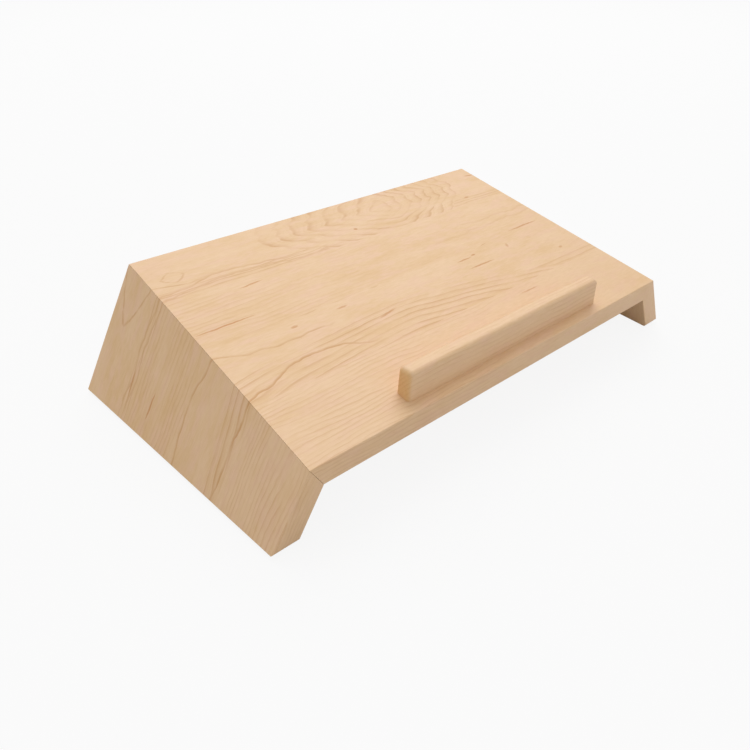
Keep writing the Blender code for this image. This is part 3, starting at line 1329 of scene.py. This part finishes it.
@dataclass
class SideBoard(Board):
    """A splayed side board: four staves that run from the mitre down to the desk."""

    hand: Hand = Hand.LEFT
    foot_radius: float = 1.0 * MM
    toe_radius: float = 4.4 * MM
    toe_facets: int = 9

    def build_stave(self, index: int) -> Workpiece:
        """Saw one stave of the side, ease its arrises and round its toe.

        Args:
            index: the stave's number from the front, from 0.

        Returns:
            The dressed stave.
        """
        shape, hand = self.shape, self.hand
        name = f"{hand.word}_side_stave_{index + 1}"
        stave = self.blank(f"maple_{name}")
        outer, foot = shape.side(hand), shape.foot
        inner = outer.moved(-shape.thickness).flipped()
        stave.saw(outer)
        stave.saw(inner)
        stave.saw(foot)
        mitre = shape.mitre(hand).moved(self.mitre_line / 2).flipped()
        stave.saw(mitre)
        seam_normal = outer.normal.cross(shape.side_grain(hand)) * hand.value
        self.saw_width(stave, index, hand.value * shape.half_top, seam_normal)
        stave.ease(shape.top, outer, self.arris_radius / 2, self.arris_facets)
        for face in self.outer_faces(index):
            toe_radius, facets = ((self.toe_radius, self.toe_facets) if index == 0
                                  else (self.foot_radius, self.arris_facets))
            stave.ease(face, foot, toe_radius, facets)
            stave.ease(outer, face, self.arris_radius, self.arris_facets)
            stave.ease(inner, face, self.arris_radius, self.arris_facets)
            stave.ease(mitre, face, self.seam_radius, self.seam_facets)
        stave.ease(outer, foot, self.foot_radius, self.arris_facets)
        stave.ease(inner, foot, self.foot_radius, self.arris_facets)
        self.cut_slot(stave, hand.word, index)
        stave.mark_grain(lambda point: shape.side_grain_place(hand, point),
                         shape.side_grain(hand))
        stave.smooth()
        stave.finish(self.materials.staves[index], "maple_side", name)
        return stave


@dataclass
class StopLedge:
    """The bar that stops a laptop, screwed from below through the front stave."""

    shape: StandShape
    materials: Materials
    end_rake: float = math.radians(5)
    radius: float = 4.6 * MM
    segments: int = 8
    screws: int = 3
    screw_length: float = 31.75 * MM
    head_radius: float = 4.2 * MM
    shank_radius: float = 2.1 * MM
    root_radius: float = 1.55 * MM
    thread_pitch: float = 1.7 * MM
    thread_flank: float = 0.45 * MM
    thread_crest: float = 0.15 * MM
    point_length: float = 6 * MM
    head_rim: float = 0.4 * MM
    neck: float = 2.8 * MM
    plain_shank: float = 2 * MM
    point_radius: float = 0.12 * MM
    recess: float = 0.5 * MM
    drive_width: float = 2.8 * MM
    drive_depth: float = 2 * MM
    hole_clearance: float = 0.2 * MM
    hole_depth_spare: float = 1.4 * MM
    overcut: float = 1 * MM
    end_spare: float = 10 * MM
    turned_segments: int = 32

    def build(self, front_stave: Workpiece) -> None:
        """Build the ledge and its screws, and drill their holes.

        Args:
            front_stave: the stave that the ledge is screwed to.
        """
        ledge = self.build_bar()
        for number in range(self.screws):
            frame = self.screw_frame(number)
            hole = self.build_hole(frame)
            front_stave.subtract(hole)
            ledge.subtract(hole)
            hole.discard()
            self.build_screw(number, frame)
        ledge.mark_grain(self.grain_place, Vector((1, 0, 0)))
        ledge.smooth()
        ledge.finish(self.materials.ledge, "maple_ledge", "stop_ledge")

    def build_bar(self) -> Workpiece:
        """Saw and round the bar, then bevel its foot to the top's slope.

        Returns:
            The bar.
        """
        low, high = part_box("stop_ledge")
        foot = self.shape.on_top(0, low.y)
        spare = Vector((self.end_spare, 0, 0))
        below = Vector((0, 0, self.end_spare))
        bar = Workpiece.block("maple_stop_ledge", low - spare - below, high + spare)
        for hand, end_x in zip(Hand, (low.x, high.x)):
            end = foot + Vector((end_x, 0, 0))
            lean = Vector((hand.value * math.cos(self.end_rake), 0, math.sin(self.end_rake)))
            bar.saw(Plane(end, lean))
        bar.round_edges(lambda first, second: max(first.z, second.z) > high.z - MM,
                        self.radius, self.segments)
        bar.saw(Plane(self.shape.top.point, -self.shape.top_normal))
        return bar

    def grain_place(self, point: Vector) -> Vector:
        """A point's place in the bar: along, up its face and into it, in millimetres."""
        return Vector((point.x, point.z, point.y - self.shape.front_y)) / MM

    def screw_frame(self, number: int) -> Matrix:
        """A screw's placement: its head's face under the top, its axis square to the top.

        Args:
            number: the screw's number from the left, from 0.

        Returns:
            The placement matrix.
        """
        shape = self.shape
        low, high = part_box(f"ledge_screw_{number + 1}")
        middle = (low + high) / 2
        reach = middle - shape.top.point
        height = -shape.thickness + self.recess
        along = reach.dot(shape.up_slope)
        head = Vector((middle.x, 0, 0)) + Vector((0, shape.top.point.y, shape.top.point.z))
        head += shape.up_slope * along + shape.top_normal * height
        rotation = Matrix((Vector((1, 0, 0)), shape.up_slope, shape.top_normal)).transposed()
        return Matrix.Translation(head) @ rotation.to_4x4()

    def build_hole(self, frame: Matrix) -> Workpiece:
        """Turn a cutter for a screw's countersunk hole.

        Args:
            frame: the screw's placement.

        Returns:
            The cutter.
        """
        mouth = self.head_radius + self.hole_clearance
        bore = self.shank_radius + self.hole_clearance
        start = self.recess + self.overcut
        end = self.recess + self.screw_length + self.hole_depth_spare
        cutter = Workpiece.disc("screw_hole", mouth, self.turned_segments)
        cutter.turn(((mouth, 0), (mouth, self.head_rim + start), (bore, self.neck + start),
                     (bore, end)))
        cutter.place(frame @ Matrix.Translation((0, 0, -start)))
        return cutter

    def build_screw(self, number: int, frame: Matrix) -> None:
        """Turn one flat-head screw with its thread and square drive.

        Args:
            number: the screw's number from the left, from 0.
            frame: its placement.
        """
        name = f"ledge_screw_{number + 1}"
        screw = Workpiece.disc(f"zinc_{name}", self.head_radius, self.turned_segments)
        root, crest = self.root_radius, self.shank_radius
        profile = [(self.head_radius, 0), (self.head_radius, self.head_rim), (root, self.neck)]
        height = self.neck + self.plain_shank
        while height < self.screw_length - self.point_length:
            rise = height + self.thread_flank
            fall = rise + self.thread_crest
            profile += [(root, height), (crest, rise), (crest, fall),
                        (root, fall + self.thread_flank)]
            height += self.thread_pitch
        profile.append((self.point_radius, self.screw_length))
        screw.turn(profile)
        half = self.drive_width / 2
        drive = Workpiece.block("square_drive", Vector((-half, -half, -self.overcut)),
                                Vector((half, half, self.drive_depth)))
        screw.subtract(drive)
        drive.discard()
        screw.place(frame)
        screw.smooth()
        screw.finish(self.materials.zinc, "screw_steel", name)


@dataclass
class PadSet:
    """The four round rubber pads under the side boards."""

    materials: Materials
    foot_z: float
    tread_inset: float = 0.6 * MM
    shoulder_inset: float = 0.25 * MM
    shoulder_height: float = 0.12 * MM
    dome_height: float = 0.4 * MM
    chamfer: float = 0.15 * MM
    segments: int = 48

    def build(self) -> None:
        """Turn the pads, each a little domed towards the desk."""
        for hand in Hand:
            for place in Place:
                name = f"{hand.word}_{place.value}_pad"
                low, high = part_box(name)
                radius = (high.x - low.x) / 2
                tread = radius - self.tread_inset
                pad = Workpiece.disc(f"rubber_{name}", tread, self.segments)
                pad.turn(((tread, 0), (radius - self.shoulder_inset, self.shoulder_height),
                          (radius, self.dome_height), (radius, self.foot_z - self.chamfer),
                          (radius - self.chamfer, self.foot_z)))
                middle = (low + high) / 2
                pad.place(Matrix.Translation((middle.x, middle.y, 0)))
                pad.smooth()
                pad.finish(self.materials.rubber, "pad_rubber", name)


@dataclass
class Biscuits:
    """The pressed beech biscuits in the mitres, which keep the frame's own meshes."""

    materials: Materials
    nodes: dict[str, bpy.types.Object]
    staves: int

    def dress(self) -> None:
        """Give every biscuit its finish."""
        for hand in Hand:
            for index in range(self.staves):
                node = self.nodes[f"{hand.word}_biscuit_{index + 1}"]
                for slot in node.material_slots:
                    slot.link = "OBJECT"
                    slot.material = self.materials.beech


@dataclass
class Studio:
    """Pale floor, soft light and the camera."""

    camera_place: tuple[float, float, float] = (-0.3648, -0.3840, 0.34675)
    camera_down: float = math.radians(35.742)
    camera_yaw: float = math.radians(40.062)
    camera_roll: float = math.radians(0.148)
    lens: float = 29.52
    sensor: float = 36.0
    nearest_seen: float = 0.01
    floor_reach: float = 12.0
    floor_bounce: float = 0.78
    floor_seen: float = 0.07
    floor_drop: float = 0.2 * MM
    backdrop_white: float = 0.956
    floor_glow: float = 0.893
    world_strength: float = 0.60
    key_place: tuple[float, float, float] = (2.0, 2.3, 4.2)
    key_aim: tuple[float, float, float] = (0, 0, 0.05)
    key_size: float = 4.2
    key_power: float = 150.0

    def build(self) -> None:
        """Set up the floor, the lights and the camera."""
        self.build_floor()
        self.build_lights()
        self.build_camera()

    def build_floor(self) -> None:
        """Lay a plain pale floor."""
        bpy.ops.object.select_all(action="DESELECT")
        bpy.ops.mesh.primitive_plane_add(size=2 * self.floor_reach,
                                         location=(0, 0, -self.floor_drop))
        floor = bpy.context.object
        floor.name = "pale_floor"
        material, graph, shader = blank_material("pale_floor")
        seen = graph.read("ShaderNodeLightPath", "Is Camera Ray")
        shader.inputs["Roughness"].default_value = 1.0
        shader.inputs["Specular IOR Level"].default_value = 0.0
        shader.inputs["Emission Color"].default_value = (1, 1, 1, 1)
        bounce, visible = ((grey, grey, grey, 1) for grey in (self.floor_bounce, self.floor_seen))
        graph.feed(shader.inputs["Base Color"], graph.mix(seen, bounce, visible))
        graph.feed(shader.inputs["Emission Strength"], seen * self.floor_glow)
        floor.data.materials.append(material)

    def build_lights(self) -> None:
        """Hang one large soft light over the back right, in an even white room."""
        scene = bpy.context.scene
        world = bpy.data.worlds.new("white_room")
        world.use_nodes = True
        background = world.node_tree.nodes["Background"]
        background.inputs["Color"].default_value = (1, 1, 1, 1)
        room = Graph(world.node_tree)
        seen = room.read("ShaderNodeLightPath", "Is Camera Ray")
        room.feed(background.inputs["Strength"],
                  seen * (self.backdrop_white - self.world_strength) + self.world_strength)
        scene.world = world
        scene.view_settings.view_transform = "Standard"
        light = bpy.data.lights.new("key", "AREA")
        light.shape = "SQUARE"
        light.size = self.key_size
        light.energy = self.key_power
        key = bpy.data.objects.new("key", light)
        key.location = self.key_place
        aim = Vector(self.key_aim) - Vector(self.key_place)
        key.rotation_euler = aim.to_track_quat("-Z", "Y").to_euler()
        scene.collection.objects.link(key)

    def build_camera(self) -> None:
        """Stand the camera to the front left, above the stand."""
        lens = bpy.data.cameras.new("view")
        lens.lens = self.lens
        lens.sensor_width = self.sensor
        lens.clip_start = self.nearest_seen
        camera = bpy.data.objects.new("view", lens)
        turn = (Matrix.Rotation(-self.camera_yaw, 4, "Z")
                @ Matrix.Rotation(math.pi / 2 - self.camera_down, 4, "X")
                @ Matrix.Rotation(self.camera_roll, 4, "Z"))
        camera.matrix_world = Matrix.Translation(self.camera_place) @ turn
        bpy.context.scene.collection.objects.link(camera)
        bpy.context.scene.camera = camera


def main() -> None:
    """Build the stand around its frame, dress it and set the scene."""
    logging.basicConfig(level=logging.INFO, format="%(name)s %(message)s")
    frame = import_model()
    nodes = frame["nodes"]
    shape = StandShape.from_frame()
    LOG.info("top %.1f mm wide, slope %.0f degrees", 2 * shape.half_top / MM,
             math.degrees(shape.slope))
    materials = Materials.build()

    top = TopBoard(shape, materials, nodes)
    top_staves = top.build()
    for hand in Hand:
        SideBoard(shape, materials, nodes, hand=hand).build()
    StopLedge(shape, materials).build(top_staves[0])
    top.dress(top_staves)
    PadSet(materials, shape.foot_z).build()
    Biscuits(materials, nodes, shape.staves).dress()
    Studio().build()


if __name__ == "__main__":
    main()
